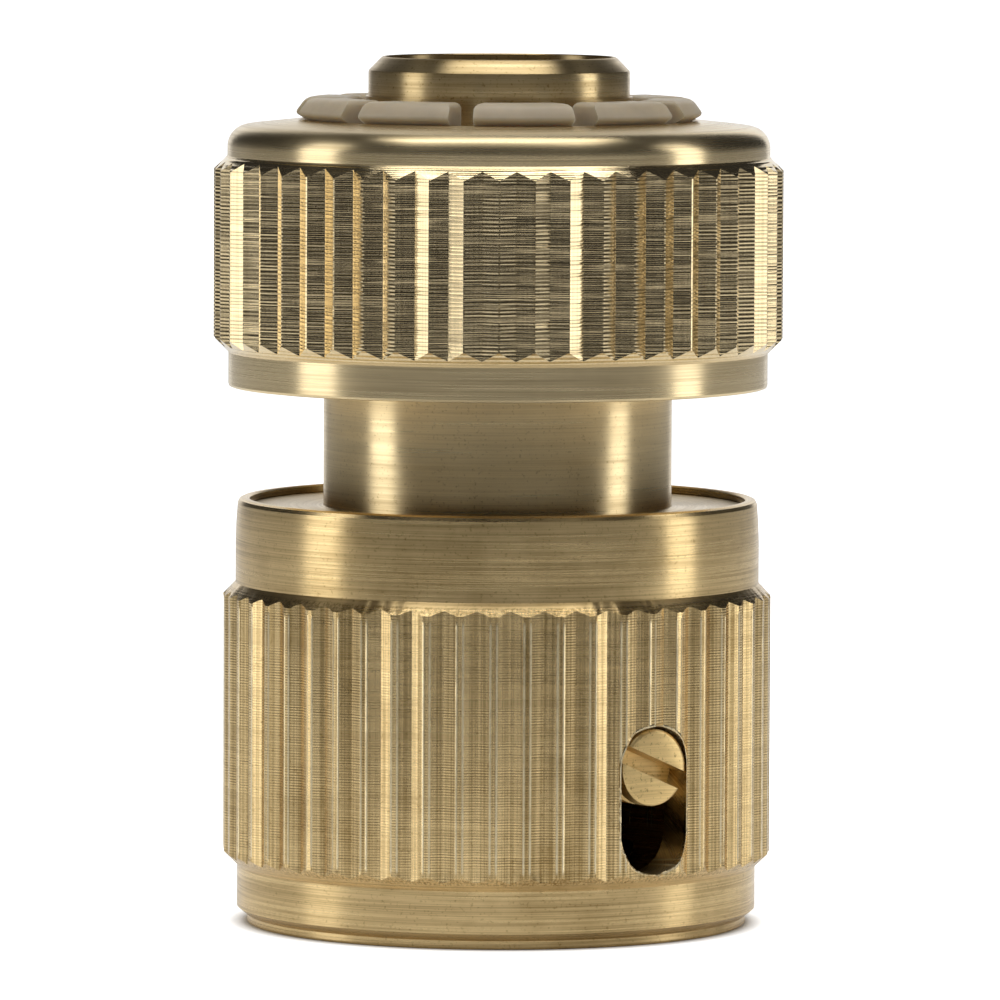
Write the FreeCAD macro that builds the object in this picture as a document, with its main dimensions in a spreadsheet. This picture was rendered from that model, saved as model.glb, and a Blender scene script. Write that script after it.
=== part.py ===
import FreeCAD, Part

import math
import os
import re

import Sketcher

# Quick connector for a 19 mm hose. The hose slides onto a barbed tail inside a knurled
# shell and is held by a screw clamp that can be reached through a window. At the other
# end ten jaws grip a plug and let it go when the knurled sleeve is pulled down.
# The axis is Z, the shell stands on Z = 0, and the front faces -Y.
# Every section is drawn in the plane through +X and Z and then turned to its place.

# Driving sizes in millimetres and degrees: name, value, what it is. Radii and levels that
# follow from them come below, so that pieces which fit each other keep doing so.
SIZES = [
    # Shell
    ("shell_bore_radius", 16.6, "inside of the shell, round the hose"),
    ("shell_bore_break", 0.4, "broken edge inside the foot"),
    ("shell_wall", 1.9, "wall of the plain band under the lower knurl"),
    ("foot_step", 0.7, "narrow foot inside that band"),
    ("foot_height", 0.6, "height of the narrow foot"),
    ("foot_break", 0.15, "broken edge under the foot"),
    ("foot_bevel", 0.55, "height of the bevel over the foot"),
    ("lower_band_height", 4.13, "from the foot to the lower knurl"),
    ("upper_band_rise", 0.15, "band over the lower knurl, outside the one under it"),
    ("upper_band_height", 6.0, "from the lower knurl to the rolled lip"),
    ("lip_roll_height", 3.1, "stretch over which the top of the shell leans in"),
    ("lip_roll_depth", 0.15, "how far it leans in"),
    ("lip_round", 0.35, "bevel on the outer corner of the lip"),
    ("lip_stand", 0.55, "how far the lip stands over the disc inside it"),
    ("lower_knurl_rise", 1.0, "ridges of the lower knurl over the band under it"),
    ("lower_knurl_length", 20.17, "with its bevelled ends"),
    ("lower_knurl_depth", 0.35, "ridge to groove"),
    ("lower_knurl_land", 0.45, "flat top of a ridge"),
    ("lower_knurl_phase", 2.27, "angle of the first groove from the window"),
    ("knurl_teeth", 52, "ridges on each knurl"),
    ("window_width", 5.84, "slot in the shell over the clamp screw"),
    ("window_length", 10.4, "slot from end to end"),
    ("window_bottom", 5.1, "lower end of the slot over the foot"),
    ("window_angle", -54.8, "direction of the window round Z from +X"),
    # Socket body
    ("flange_ledge", 1.4, "disc that closes the shell, outside the shell's bore"),
    ("flange_thickness", 2.55, "thickness of the disc"),
    ("flange_bevel", 0.4, "edge of the disc under the lip"),
    ("flange_gap", 0.05, "play between disc and shell"),
    ("boss_wall", 4.1, "boss under the disc, round the tail's thread"),
    ("boss_length", 5.2, "length of the boss"),
    ("thread_wall", 2.1, "threaded part of the hose tail, round the water way"),
    ("thread_depth", 10.1, "from the boss to the shoulder over the seal"),
    ("seat_radius", 8.0, "seat that the plug's seal runs in"),
    ("seat_sink", 2.5, "bottom of the seat under the neck's shoulder"),
    ("seat_edge", 0.3, "top of the seat under the jaw windows"),
    ("throat_step", 0.6, "water way of body and tail, inside the seat"),
    ("nose_play", 0.2, "bore of the nose, outside the seat"),
    ("stem_wall", 1.3, "stem with the jaw windows, and nose, round the seat"),
    ("neck_step", 3.1, "neck that the sleeve slides on, outside the stem"),
    ("neck_length", 13.75, "from the disc to the shoulder under the stem"),
    ("neck_land", 1.3, "shoulder over the ring groove"),
    ("ring_groove_width", 1.0, "groove for the stop ring"),
    ("ring_groove_depth", 0.6, "groove for the stop ring"),
    ("nose_stand", 4.45, "end of the nose over the sleeve"),
    ("nose_bevel", 1.0, "bevel at the end of the nose"),
    ("collar_step", 0.2, "small collar on the nose"),
    ("collar_height", 0.3, "height of that collar"),
    ("collar_drop", 2.8, "top of the collar under the end of the nose"),
    # Jaws
    ("jaw_count", 10, "jaws round the stem"),
    ("jaw_first_angle", -82.8, "direction of the first jaw round Z from +X"),
    ("jaw_gap_angle", 7.1, "open angle between two jaws"),
    ("jaw_open", 1.2, "how far a jaw moves out"),
    ("jaw_drop", 3.26, "how far it moves down meanwhile"),
    ("sleeve_travel", 4.0, "how far the sleeve is pulled down"),
    ("jaw_window_rise", 3.4, "sill of a jaw window over the neck's shoulder"),
    ("jaw_window_height", 5.6, "from the sill to the top of the window"),
    ("lug_width", 3.6, "width of a jaw's lug"),
    ("lug_side_gap", 0.1, "play of the lug in its window, each side"),
    ("lug_gap", 0.2, "play of the lug to the window's sill and top, at the ends of its travel"),
    ("lug_nose", 0.6, "height of the lug's blunt tip"),
    ("jaw_inner_gap", 0.15, "play between jaw and stem"),
    ("jaw_thickness", 2.95, "jaw below the hook"),
    ("jaw_step", 1.25, "slope from the lower to the upper inside"),
    ("jaw_foot_rise", 3.5, "foot of the jaw over the neck's shoulder"),
    ("jaw_foot_bevel", 0.3, "bevel inside the foot, which rides on the stem's flare"),
    ("flare_gap", 0.2, "play of that bevel over the flare"),
    ("hook_step", 0.2, "bottom of the slot that takes the sleeve's lip, outside the jaw's back"),
    ("hook_reach", 0.7, "tip of the hook inside the sleeve, past the mouth"),
    ("hook_edge", 1.4, "height of the hook's tip"),
    ("hook_slope", 1.2, "slope under the hook"),
    ("slot_gap", 0.08, "play of the sleeve's lip in the slot"),
    ("lip_reach", 0.6, "outer edge of the jaw over the sleeve, past the mouth"),
    ("lip_slope", 0.8, "outer edge of the jaw's top, inside that edge"),
    ("jaw_stand", 1.55, "top of the jaw over the sleeve"),
    ("jaw_round", 0.45, "rounding round the jaw's top"),
    # Release sleeve
    ("mouth_gap", 0.1, "play between the mouth and an open jaw"),
    ("mouth_height", 2.25, "height of the mouth"),
    ("recess_gap", 0.1, "play of the hook in its recess, jaws open"),
    ("sleeve_bore_step", 1.7, "inside of the sleeve, outside the recess"),
    ("sleeve_wall", 1.6, "wall of the plain band under the upper knurl"),
    ("sleeve_band_height", 2.45, "height of that band"),
    ("sleeve_top_rise", 0.1, "plain band over the upper knurl, outside the one under it"),
    ("sleeve_top_height", 2.6, "height of the band over the upper knurl"),
    ("sleeve_edge_break", 0.2, "broken edge at the bottom"),
    ("sleeve_round", 1.5, "rounding of the top corner"),
    ("upper_knurl_rise", 1.05, "ridges of the upper knurl over the band under it"),
    ("upper_knurl_length", 13.95, "with its bevelled ends"),
    ("upper_knurl_depth", 0.65, "ridge to groove"),
    ("upper_knurl_land", 0.12, "flat top of a ridge"),
    ("upper_knurl_phase", 3.66, "angle of the first groove from +X"),
    # Parts on the neck
    ("bush_length", 2.6, "guide bush in the sleeve's lower end"),
    ("bush_gap", 0.08, "play of the bush on the neck"),
    ("bush_inset", 0.3, "bush above the sleeve's lower end"),
    ("stop_gap", 0.05, "bush below the stop ring, sleeve up"),
    ("ring_thickness", 0.95, "stop ring"),
    ("ring_reach", 1.2, "outside of the stop ring, past the neck"),
    ("ring_gap", 0.05, "stop ring over the bottom of its groove"),
    ("ring_opening_angle", 40, "open angle of the stop ring"),
    ("ring_back_angle", 90, "direction of its closed side round Z from +X"),
    ("washer_thickness", 0.9, "washer under the spring"),
    ("washer_gap", 0.15, "play of the washer on the neck"),
    ("wall_gap", 0.2, "play of washer and spring in the sleeve"),
    ("wire_radius", 0.55, "spring wire"),
    ("spring_turns", 5.5, "turns of the spring"),
    ("spring_ground", 0.3, "ground off at each end"),
    # Hose tail
    ("tail_inset", 2.0, "open end of the tail over the foot"),
    ("tail_collar_reach", 3.0, "collar that the hose ends against, outside the thread"),
    ("tail_collar_thickness", 2.5, "thickness of the collar"),
    ("tail_thread_length", 8.5, "screwed into the body"),
    ("tail_thread_gap", 0.05, "play of the thread"),
    ("tail_wall", 1.5, "tail between the barbs, round the water way"),
    ("tail_plain", 1.5, "tail without barbs, both ends together"),
    ("tail_entry", 0.5, "bevel at the open end"),
    ("barb_count", 5, "barbs"),
    ("barb_height", 0.9, "edge of a barb over the tail"),
    ("barb_land", 0.3, "width of a barb's edge"),
    ("barb_gap", 0.4, "plain tail between two barbs"),
    ("seal_gap", 0.03, "seal to the wall round it"),
    # Hose clamp
    ("clamp_gap", 0.1, "play of the clamp ring in the shell"),
    ("clamp_thickness", 2.1, "wall of the clamp ring"),
    ("clamp_width", 5.0, "width of the clamp ring"),
    ("screw_radius", 2.7, "outside of the screw's thread"),
    ("screw_gap", 0.05, "play of the thread"),
    ("screw_sink", 0.3, "head below the ridges of the knurl"),
    ("screw_edge", 0.25, "bevel round both ends of the screw"),
    ("slot_width", 1.3, "driver slot"),
    ("slot_depth", 1.9, "driver slot"),
    ("slot_angle", 23.0, "driver slot, from level"),
    ("pin_radius", 1.6, "pin at the screw's tip"),
    ("pin_length", 0.75, "pin at the screw's tip"),
    ("pin_gap", 0.05, "play of that pin in the shoe"),
    ("shoe_gap", 0.05, "shoe to the clamp ring, screw back"),
    ("shoe_thickness", 1.4, "pressure shoe"),
    ("shoe_width", 4.4, "pressure shoe"),
    ("shoe_angle", 76.0, "arc of the pressure shoe"),
]

# Places and sizes that follow from the ones above.
DERIVED = {
    # Levels over the foot of the shell
    "lower_knurl_top": "lower_band_height + lower_knurl_length",
    "shell_height": "lower_knurl_top + upper_band_height",
    "disc_top": "shell_height - lip_stand",
    "disc_bottom": "disc_top - flange_thickness",
    "boss_bottom": "disc_bottom - boss_length",
    "tail_collar_bottom": "boss_bottom - tail_collar_thickness",
    "tail_top": "boss_bottom + tail_thread_length",
    "seal_shoulder": "boss_bottom + thread_depth",
    "neck_top": "disc_top + neck_length",
    "groove_top": "neck_top - neck_land",
    "groove_bottom": "groove_top - ring_groove_width",
    "ring_top": "groove_bottom + ring_thickness",
    "washer_top": "ring_top + washer_thickness",
    "bush_top": "groove_bottom - stop_gap",
    "bush_bottom": "bush_top - bush_length",
    "sleeve_bottom": "bush_bottom - bush_inset",
    "upper_knurl_bottom": "sleeve_bottom + sleeve_band_height",
    "upper_knurl_top": "upper_knurl_bottom + upper_knurl_length",
    "sleeve_top": "upper_knurl_top + sleeve_top_height",
    "mouth_bottom": "sleeve_top - mouth_height",
    "nose_top": "sleeve_top + nose_stand",
    "collar_top": "nose_top - collar_drop",
    "seat_bottom": "neck_top - seat_sink",
    "seat_top": "jaw_window_bottom - seat_edge",
    "jaw_bottom": "neck_top + jaw_foot_rise",
    "jaw_window_bottom": "neck_top + jaw_window_rise",
    "jaw_window_top": "jaw_window_bottom + jaw_window_height",
    "flare_top": "jaw_bottom + ramp_slope * (jaw_inner_gap + jaw_foot_bevel) - flare_gap",
    "clamp_level": "window_bottom + window_length - window_width / 2",
    # Barbs, spaced evenly over the tail
    "barb_pitch": "(tail_collar_bottom - tail_inset - tail_plain) / barb_count",
    "barb_slope": "barb_pitch - barb_land - barb_gap",
    # Slopes, as height over width
    "ramp_slope": "jaw_drop / jaw_open",
    "cone_slope": "(sleeve_travel - jaw_drop) / jaw_open",
    # Radii of shell and clamp
    "lower_band_radius": "shell_bore_radius + shell_wall",
    "foot_radius": "lower_band_radius - foot_step",
    "upper_band_radius": "lower_band_radius + upper_band_rise",
    "lower_knurl_radius": "lower_band_radius + lower_knurl_rise",
    "flange_radius": "shell_bore_radius + flange_ledge",
    "shell_counterbore": "flange_radius + flange_gap",
    "lip_inner_radius": "flange_radius - flange_bevel + flange_gap",
    "clamp_outer_radius": "shell_bore_radius - clamp_gap",
    "clamp_inner_radius": "clamp_outer_radius - clamp_thickness",
    "shoe_outer_radius": "clamp_inner_radius - shoe_gap",
    "screw_head": "lower_knurl_radius - screw_sink",
    # Radii of body and tail
    "throat_radius": "seat_radius - throat_step",
    "nose_bore_radius": "seat_radius + nose_play",
    "stem_radius": "seat_radius + stem_wall",
    "flare_radius": "stem_radius + (flare_top - neck_top) / ramp_slope",
    "neck_radius": "stem_radius + neck_step",
    "thread_radius": "throat_radius + thread_wall",
    "boss_radius": "thread_radius + boss_wall",
    "tail_collar_radius": "thread_radius + tail_collar_reach",
    "tail_core_radius": "throat_radius + tail_wall",
    "barb_radius": "tail_core_radius + barb_height",
    "seal_wire": "(seal_shoulder - tail_top) / 2",
    "ring_radius": "neck_radius + ring_reach",
    # Radii of jaws and sleeve, from the stem outwards
    "jaw_inner_radius": "stem_radius + jaw_inner_gap",
    "jaw_upper_radius": "jaw_inner_radius + jaw_step",
    "jaw_back_radius": "jaw_inner_radius + jaw_thickness",
    "hook_back_radius": "jaw_back_radius + hook_step",
    "mouth_radius": "hook_back_radius + jaw_open + mouth_gap",
    "hook_radius": "mouth_radius + hook_reach",
    "jaw_lip_radius": "mouth_radius + lip_reach",
    "jaw_top_radius": "jaw_lip_radius - lip_slope",
    "recess_radius": "hook_radius + jaw_open + recess_gap",
    "sleeve_bore_radius": "recess_radius + sleeve_bore_step",
    "sleeve_band_radius": "sleeve_bore_radius + sleeve_wall",
    "sleeve_top_radius": "sleeve_band_radius + sleeve_top_rise",
    "upper_knurl_radius": "sleeve_band_radius + upper_knurl_rise",
    "spring_outer_radius": "sleeve_bore_radius - wall_gap",
    "spring_radius": "spring_outer_radius - wire_radius",
    # Underside of the jaw's lip and top of its hook, along the sleeve's cone
    "lip_under_back": "sleeve_top + slot_gap - cone_slope * (mouth_radius - hook_back_radius)",
    "lip_under_edge": "sleeve_top + slot_gap + cone_slope * (jaw_lip_radius - mouth_radius)",
    "hook_top_back": "mouth_bottom - slot_gap - cone_slope * (mouth_radius - hook_back_radius)",
    "hook_top_tip": "mouth_bottom - slot_gap + cone_slope * (hook_radius - mouth_radius)",
    "lug_top": "jaw_window_top - lug_gap",
    "lug_bottom": "jaw_window_bottom + jaw_drop + lug_gap",
}

NAMES = {name for name, value, note in SIZES}
COUNTS = {name: value for name, value, note in SIZES if isinstance(value, int)}

# How much wider than the ridges are high the tool that cuts a knurl is
OVERCUT = 1.5
# How far past the outer wall a cut from the axis runs, as a share of the wall's radius
PAST_WALL = 1.05


def bound(expression):
    """Returns the expression with every name replaced by its cell, or by what it follows from."""
    def cell(word):
        name = word.group()
        if name in DERIVED:
            return f"({bound(DERIVED[name])})"
        if name in NAMES:
            return f"sizes.{name}"
        return name
    return re.sub(r"[a-z]\w*", cell, expression)


def fill_sheet(document):
    """Writes the driving sizes into the sheet, one row each."""
    sheet = document.addObject("Spreadsheet::Sheet", "sizes")
    for row, (name, value, note) in enumerate(SIZES, start=1):
        sheet.set(f"A{row}", name)
        sheet.set(f"B{row}", str(value))
        sheet.set(f"C{row}", note)
        sheet.setAlias(f"B{row}", name)
    document.recompute()


def new_body(document, name, turn=None, lift=None):
    """A body that may be turned about Z and lifted along it."""
    body = document.addObject("PartDesign::Body", name)
    body.Label = name
    if turn:
        body.Placement = FreeCAD.Placement(FreeCAD.Vector(), FreeCAD.Rotation(FreeCAD.Vector(0, 0, 1), 1))
        body.setExpression("Placement.Rotation.Angle", bound(turn))
    if lift:
        body.setExpression("Placement.Base.z", bound(lift))
    return body


def origin_item(body, role):
    """One of the body's own origin planes or axes."""
    return next(item for item in body.Origin.OriginFeatures if item.Role == role)


def new_sketch(body, name, plane, lift=None):
    """An empty sketch on one of the body's origin planes, or lifted off it."""
    sketch = body.newObject("Sketcher::SketchObject", name)
    sketch.AttachmentSupport = [(origin_item(body, plane), "")]
    sketch.MapMode = "FlatFace"
    if lift:
        sketch.setExpression("AttachmentOffset.Base.z", bound(lift))
    return sketch


def outline(body, name, plane, corners, phase=None):
    """A closed outline. Each corner is a pair of expressions, its places across and up."""
    sketch = new_sketch(body, name, plane)
    if phase:
        sketch.AttachmentOffset = FreeCAD.Placement(
            FreeCAD.Vector(), FreeCAD.Rotation(FreeCAD.Vector(0, 0, 1), 1))
        sketch.setExpression("AttachmentOffset.Rotation.Angle", bound(phase))
    count = len(corners)
    step = 2 * math.pi / count
    rough = [FreeCAD.Vector(math.cos(i * step), math.sin(i * step), 0) for i in range(count)]
    sketch.addGeometry([Part.LineSegment(rough[i], rough[(i + 1) % count]) for i in range(count)])
    sketch.addConstraint([Sketcher.Constraint("Coincident", i, 2, (i + 1) % count, 1) for i in range(count)])
    for index, corner in enumerate(corners):
        for kind, place, expression in zip(("DistanceX", "DistanceY"), rough[index], corner):
            number = sketch.addConstraint(Sketcher.Constraint(kind, -1, 1, index, 1, place))
            sketch.setExpression(f"Constraints[{number}]", bound(expression))
    return sketch


def disc(body, name, plane, across, up, radius, lift=None):
    """A sketch of one circle."""
    sketch = new_sketch(body, name, plane, lift)
    sketch.addGeometry(Part.Circle(FreeCAD.Vector(1, 1, 0), FreeCAD.Vector(0, 0, 1), 1))
    for kind, expression in (("DistanceX", across), ("DistanceY", up)):
        number = sketch.addConstraint(Sketcher.Constraint(kind, -1, 1, 0, 3, 1.0))
        sketch.setExpression(f"Constraints[{number}]", bound(expression))
    number = sketch.addConstraint(Sketcher.Constraint("Radius", 0, 1.0))
    sketch.setExpression(f"Constraints[{number}]", bound(radius))
    return sketch


def feature(body, kind, name, profile):
    """A feature made from a sketch of the same body."""
    made = body.newObject(f"PartDesign::{kind}", name)
    made.Profile = profile
    return made


def turned(body, name, corners, angle=None, axis="V_Axis", plane="XZ_Plane"):
    """A section turned about the axis, all round or over an angle centred on the plane."""
    profile = outline(body, f"{name}_section", plane, corners)
    made = feature(body, "Revolution", name, profile)
    made.ReferenceAxis = (profile, [axis])
    made.Angle = 360
    if angle:
        made.Midplane = True
        made.setExpression("Angle", bound(angle))
    return made


def cut_through(body, name, profile):
    """Cuts an outline out of the body along the whole height."""
    made = feature(body, "Pocket", name, profile)
    made.Type = "ThroughAll"
    made.SideType = "Symmetric"
    return made


def cut_across(body, name, profile, width):
    """Cuts an outline out of the body, half the width to each side of its plane."""
    made = feature(body, "Pocket", name, profile)
    made.SideType = "Symmetric"
    made.setExpression("Length", bound(width))
    return made


def cut_outwards(body, name, profile, length):
    """Cuts an outline out of the wall on the +X side, from the outline's plane outwards."""
    made = feature(body, "Pocket", name, profile)
    made.Reversed = True
    made.setExpression("Length", bound(length))
    return made


def round_the_axis(body, name, original, count):
    """Repeats a feature round Z."""
    pattern = body.newObject("PartDesign::PolarPattern", name)
    pattern.Originals = [original]
    pattern.Axis = (origin_item(body, "Z_Axis"), [""])
    pattern.Angle = 360
    pattern.setExpression("Occurrences", bound(count))
    body.Tip = pattern


def groove_outline(body, name, radius, depth, land, phase):
    """The V between two ridges of a knurl, drawn wider than the ridges are high."""
    half = f"(180 / knurl_teeth - 90 * {land} / (pi * {radius}))"
    root = f"({radius} - {depth})"
    outer = f"({root} + {OVERCUT} * ({radius} * cos({half}) - {root}))"
    side = f"{OVERCUT} * {radius} * sin({half})"
    corners = [(root, "0"), (outer, side), (outer, f"-{side}")]
    return outline(body, name, "XY_Plane", corners, phase)


def clamp_shell(document):
    """Knurled shell with a rolled lip on top and an oval window for the clamp screw."""
    body = new_body(document, "clamp_shell", turn="window_angle")
    turned(body, "shell_wall", [
        ("shell_bore_radius + shell_bore_break", "0"),
        ("foot_radius - foot_break", "0"),
        ("foot_radius", "foot_break"),
        ("foot_radius", "foot_height"),
        ("lower_band_radius", "foot_height + foot_bevel"),
        ("lower_band_radius", "lower_band_height"),
        ("lower_knurl_radius", "lower_band_height + lower_knurl_rise"),
        ("lower_knurl_radius", "lower_knurl_top - (lower_knurl_radius - upper_band_radius)"),
        ("upper_band_radius", "lower_knurl_top"),
        ("upper_band_radius", "shell_height - lip_roll_height"),
        ("upper_band_radius - lip_roll_depth", "shell_height - lip_round"),
        ("upper_band_radius - lip_roll_depth - lip_round", "shell_height"),
        ("lip_inner_radius", "shell_height"),
        ("lip_inner_radius", "disc_top + flange_gap"),
        ("shell_counterbore", "disc_top - flange_bevel + flange_gap"),
        ("shell_counterbore", "disc_bottom"),
        ("shell_bore_radius", "disc_bottom"),
        ("shell_bore_radius", "shell_bore_break"),
    ])
    groove = cut_through(body, "knurl_groove", groove_outline(
        body, "knurl_groove_section", "lower_knurl_radius", "lower_knurl_depth", "lower_knurl_land",
        "lower_knurl_phase"))
    round_the_axis(body, "knurl", groove, "knurl_teeth")
    window_slot(body)
    return body


def window_slot(body):
    """The oval window: straight sides and round ends, cut through the wall at +X."""
    sketch = new_sketch(body, "window_section", "YZ_Plane")
    centre_line = FreeCAD.Vector(0, 0, 1)
    upper = Part.Circle(FreeCAD.Vector(0, 1, 0), centre_line, 1)
    lower = Part.Circle(FreeCAD.Vector(0, -1, 0), centre_line, 1)
    sketch.addGeometry([
        Part.ArcOfCircle(upper, 0, math.pi),
        Part.LineSegment(FreeCAD.Vector(-1, 1, 0), FreeCAD.Vector(-1, -1, 0)),
        Part.ArcOfCircle(lower, math.pi, 2 * math.pi),
        Part.LineSegment(FreeCAD.Vector(1, -1, 0), FreeCAD.Vector(1, 1, 0)),
    ])
    sketch.addConstraint([Sketcher.Constraint("Coincident", i, 2, (i + 1) % 4, 1) for i in range(4)])
    for arc, side, level in ((0, 1, "clamp_level"), (2, -1, "window_bottom + window_width / 2")):
        sketch.addConstraint(Sketcher.Constraint("PointOnObject", arc, 3, -2))
        # The arc's start lies to one side, and its start, end and centre are level
        driven = [("DistanceX", 1, f"{side} * window_width / 2")]
        driven += [("DistanceY", point, level) for point in (1, 2, 3)]
        for kind, point, expression in driven:
            number = sketch.addConstraint(Sketcher.Constraint(kind, -1, 1, arc, point, side))
            sketch.setExpression(f"Constraints[{number}]", bound(expression))
    cut_outwards(body, "window", sketch, f"{PAST_WALL} * lower_knurl_radius")


def socket_body(document):
    """Turned body: boss with the tail's thread, disc, neck, and a flared stem with the jaw windows."""
    body = new_body(document, "socket_body", turn="jaw_first_angle")
    turned(body, "turned_body", [
        ("thread_radius", "boss_bottom"),
        ("boss_radius", "boss_bottom"),
        ("boss_radius", "disc_bottom"),
        ("flange_radius", "disc_bottom"),
        ("flange_radius", "disc_top - flange_bevel"),
        ("flange_radius - flange_bevel", "disc_top"),
        ("neck_radius", "disc_top"),
        ("neck_radius", "groove_bottom"),
        ("neck_radius - ring_groove_depth", "groove_bottom"),
        ("neck_radius - ring_groove_depth", "groove_top"),
        ("neck_radius", "groove_top"),
        ("neck_radius", "neck_top"),
        ("flare_radius", "neck_top"),
        ("stem_radius", "flare_top"),
        ("stem_radius", "collar_top - collar_height"),
        ("stem_radius + collar_step", "collar_top - collar_height"),
        ("stem_radius + collar_step", "collar_top"),
        ("stem_radius", "collar_top"),
        ("stem_radius", "nose_top - nose_bevel"),
        ("stem_radius - nose_bevel", "nose_top"),
        ("nose_bore_radius", "nose_top"),
        ("nose_bore_radius", "seat_top + nose_play"),
        ("seat_radius", "seat_top"),
        ("seat_radius", "seat_bottom"),
        ("throat_radius", "seat_bottom - throat_step"),
        ("throat_radius", "seal_shoulder"),
        ("thread_radius", "seal_shoulder"),
    ])
    jaw_window = outline(body, "jaw_window_section", "XZ_Plane", [
        ("throat_radius", "jaw_window_bottom"),
        ("flare_radius", "jaw_window_bottom"),
        ("flare_radius", "jaw_window_top"),
        ("throat_radius", "jaw_window_top"),
    ])
    window = cut_across(body, "jaw_window", jaw_window, "lug_width + 2 * lug_side_gap")
    round_the_axis(body, "jaw_windows", window, "jaw_count")
    return body


def hose_tail(document):
    """Barbed tail with a collar, screwed up into the body."""
    body = new_body(document, "hose_tail")
    corners = [
        ("throat_radius", "tail_inset"),
        ("tail_core_radius - tail_entry", "tail_inset"),
        ("tail_core_radius", "tail_inset + tail_entry"),
    ]
    for index in range(COUNTS["barb_count"]):
        start = f"tail_inset + tail_plain / 2 + {index} * barb_pitch"
        corners += [
            ("tail_core_radius", start),
            ("barb_radius", f"{start} + barb_slope"),
            ("barb_radius", f"{start} + barb_slope + barb_land"),
            ("tail_core_radius", f"{start} + barb_slope + barb_land"),
        ]
    corners += [
        ("tail_core_radius", "tail_collar_bottom"),
        ("tail_collar_radius", "tail_collar_bottom"),
        ("tail_collar_radius", "boss_bottom"),
        ("thread_radius - tail_thread_gap", "boss_bottom"),
        ("thread_radius - tail_thread_gap", "tail_top"),
        ("throat_radius", "tail_top"),
    ]
    turned(body, "turned_tail", corners)
    return body


def tail_seal(document):
    """Seal ring between the end of the tail's thread and the shoulder over it."""
    ring = document.addObject("Part::Torus", "tail_seal")
    ring.Label = "tail_seal"
    ring.setExpression("Radius1", bound("thread_radius - seal_gap - seal_wire"))
    ring.setExpression("Radius2", bound("seal_wire"))
    ring.setExpression("Placement.Base.z", bound("seal_shoulder - seal_wire"))
    return ring


def release_sleeve(document):
    """Knurled sleeve. Its mouth has a cone underneath that the jaws' hooks slide along."""
    body = new_body(document, "release_sleeve")
    wall = turned(body, "sleeve_wall", [
        ("sleeve_bore_radius", "sleeve_bottom"),
        ("sleeve_band_radius - sleeve_edge_break", "sleeve_bottom"),
        ("sleeve_band_radius", "sleeve_bottom + sleeve_edge_break"),
        ("sleeve_band_radius", "upper_knurl_bottom"),
        ("upper_knurl_radius", "upper_knurl_bottom + upper_knurl_rise"),
        ("upper_knurl_radius", "upper_knurl_top - (upper_knurl_radius - sleeve_top_radius)"),
        ("sleeve_top_radius", "upper_knurl_top"),
        ("sleeve_top_radius", "sleeve_top"),
        ("mouth_radius", "sleeve_top"),
        ("mouth_radius", "mouth_bottom"),
        ("recess_radius", "mouth_bottom + cone_slope * (recess_radius - mouth_radius)"),
        ("recess_radius", "mouth_bottom"),
        ("sleeve_bore_radius", "mouth_bottom"),
    ])
    document.recompute()
    corner = body.newObject("PartDesign::Fillet", "sleeve_corner")
    corner.Base = (wall, [widest_top_edge(wall.Shape)])
    corner.setExpression("Radius", bound("sleeve_round"))
    groove = cut_through(body, "knurl_groove", groove_outline(
        body, "knurl_groove_section", "upper_knurl_radius", "upper_knurl_depth", "upper_knurl_land",
        "upper_knurl_phase"))
    round_the_axis(body, "knurl", groove, "knurl_teeth")
    return body


def top_edges(shape):
    """Names and edges that lie in the highest plane of a shape."""
    top = shape.BoundBox.ZMax
    for number, edge in enumerate(shape.Edges, start=1):
        if edge.BoundBox.ZMin > top - 0.001:
            yield f"Edge{number}", edge


def widest_top_edge(shape):
    """Name of the largest circle in the highest plane."""
    name, edge = max(top_edges(shape), key=lambda item: item[1].BoundBox.DiagonalLength)
    return name


def guide_bush(document):
    """Bush pressed into the sleeve's lower end. It slides on the neck."""
    body = new_body(document, "guide_bush")
    turned(body, "bush_ring", [
        ("neck_radius + bush_gap", "bush_bottom"),
        ("sleeve_bore_radius", "bush_bottom"),
        ("sleeve_bore_radius", "bush_top"),
        ("neck_radius + bush_gap", "bush_top"),
    ])
    return body


def snap_ring(document):
    """Open ring in the neck's groove. It stops the bush and carries the spring washer."""
    body = new_body(document, "snap_ring", turn="ring_back_angle")
    inner = "neck_radius - ring_groove_depth + ring_gap"
    turned(body, "open_ring", [
        (inner, "groove_bottom"),
        ("ring_radius", "groove_bottom"),
        ("ring_radius", "ring_top"),
        (inner, "ring_top"),
    ], angle="360 - ring_opening_angle")
    return body


def spring_washer(document):
    """Flat washer on the stop ring, under the spring."""
    body = new_body(document, "spring_washer")
    turned(body, "washer_ring", [
        ("neck_radius + washer_gap", "ring_top"),
        ("spring_outer_radius", "ring_top"),
        ("spring_outer_radius", "washer_top"),
        ("neck_radius + washer_gap", "washer_top"),
    ])
    return body


def sleeve_spring(document):
    """Coil spring that pushes the sleeve up. Both ends are ground flat."""
    body = new_body(document, "sleeve_spring")
    wire = disc(body, "wire_section", "XZ_Plane", "spring_radius",
                "washer_top + wire_radius - spring_ground", "wire_radius")
    coil = feature(body, "AdditiveHelix", "coil", wire)
    coil.ReferenceAxis = (wire, ["V_Axis"])
    coil.Mode = "height-turns-angle"
    coil.setExpression("Height", bound("mouth_bottom - washer_top - 2 * (wire_radius - spring_ground)"))
    coil.setExpression("Turns", bound("spring_turns"))
    for name, level, upwards in (("ground_bottom", "washer_top", False), ("ground_top", "mouth_bottom", True)):
        plate = disc(body, f"{name}_section", "XY_Plane", "0", "0", "sleeve_bore_radius", lift=level)
        made = feature(body, "Pocket", name, plate)
        made.Reversed = upwards
        made.setExpression("Length", bound("2 * wire_radius"))
    return body


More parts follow.
